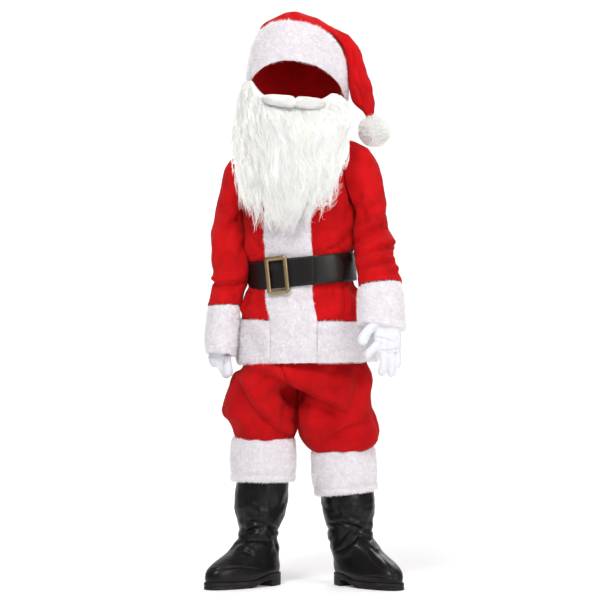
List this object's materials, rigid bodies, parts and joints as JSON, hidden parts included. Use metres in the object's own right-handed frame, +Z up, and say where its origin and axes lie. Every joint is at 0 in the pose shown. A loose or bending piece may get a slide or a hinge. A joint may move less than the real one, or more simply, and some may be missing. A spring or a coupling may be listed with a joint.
{
  "type": "santa suit set with hat, false beard, jacket, belt, gloves, trousers and boots",
  "caption": "Small child's santa suit, worn and empty: fur-trimmed hat, false beard, belted jacket, gloves, short trousers, fur leg cuffs and boots.",
  "frame": {"origin": "the point between the shoulders, inside the jacket's neck, where the wearer carries the jacket; the soles are 0.780 m below it", "axes": "+Z up, -Y the way the suit faces, +X the wearer's left"},
  "size_m": [0.3579, 0.2718, 1.0316],
  "materials": {
    "red_cloth": "bright red napped felt-like twill, matt with a soft sheen",
    "white_fur": "short white plush pile, faintly lilac",
    "beard_hair": "long wavy white synthetic hair",
    "glove_cotton": "fine white knit cotton",
    "belt_leather": "black imitation leather, satin",
    "boot_vinyl": "black vinyl, glossy and creased at the ankle",
    "boot_rubber": "black rubber, satin",
    "antique_brass": "antique brass, satin"
  },
  "bodies": {
    "root": {"belt_buckle": "antique_brass", "belt_strap": "belt_leather", "boot_heel_left": "boot_rubber", "boot_heel_right": "boot_rubber", "boot_sole_left": "boot_rubber", "boot_sole_right": "boot_rubber", "boot_upper_left": "boot_vinyl", "boot_upper_right": "boot_vinyl", "false_beard": "beard_hair", "false_moustache": "beard_hair", "glove_left": "glove_cotton", "glove_right": "glove_cotton", "hat_crown": "red_cloth", "hat_fur_band": "white_fur", "hat_pompom": "white_fur", "jacket_back": "red_cloth", "jacket_front_left": "red_cloth", "jacket_front_right": "red_cloth", "jacket_fur_cuff_left": "white_fur", "jacket_fur_cuff_right": "white_fur", "jacket_fur_front_band": "white_fur", "jacket_fur_hem_left": "white_fur", "jacket_fur_hem_right": "white_fur", "jacket_sleeve_left": "red_cloth", "jacket_sleeve_right": "red_cloth", "leg_fur_cuff_left": "white_fur", "leg_fur_cuff_right": "white_fur", "trousers_back_left": "red_cloth", "trousers_back_right": "red_cloth", "trousers_front_left": "red_cloth", "trousers_front_right": "red_cloth", "trousers_waistband": "red_cloth"}
  },
  "joints": []
}
